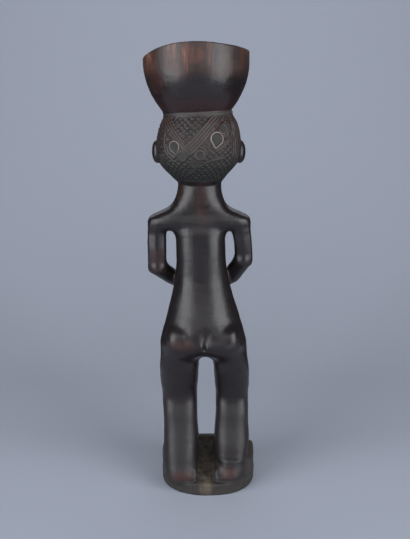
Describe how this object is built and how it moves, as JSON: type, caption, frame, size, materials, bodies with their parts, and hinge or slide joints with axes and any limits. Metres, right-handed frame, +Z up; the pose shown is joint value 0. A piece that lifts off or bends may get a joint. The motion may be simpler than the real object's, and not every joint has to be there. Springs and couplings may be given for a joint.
{
  "type": "carved wooden standing female figure with a head cup",
  "caption": "Standing female figure carved in one piece of dark wood on a round base, hands on the belly, knees bent, bearing an open hollow cup on the head.",
  "frame": {"origin": "centre of the base's flat underside", "axes": "+Z up along the figure to the cup's rim, -Y the way the figure faces, +X to the figure's own left"},
  "size_m": [0.0822, 0.075, 0.33],
  "materials": {
    "dark_wood": "old dark brown, rubbed to a soft sheen, dusty in the hollows and on the base"
  },
  "bodies": {
    "root": {"figure": "dark_wood"}
  },
  "joints": []
}
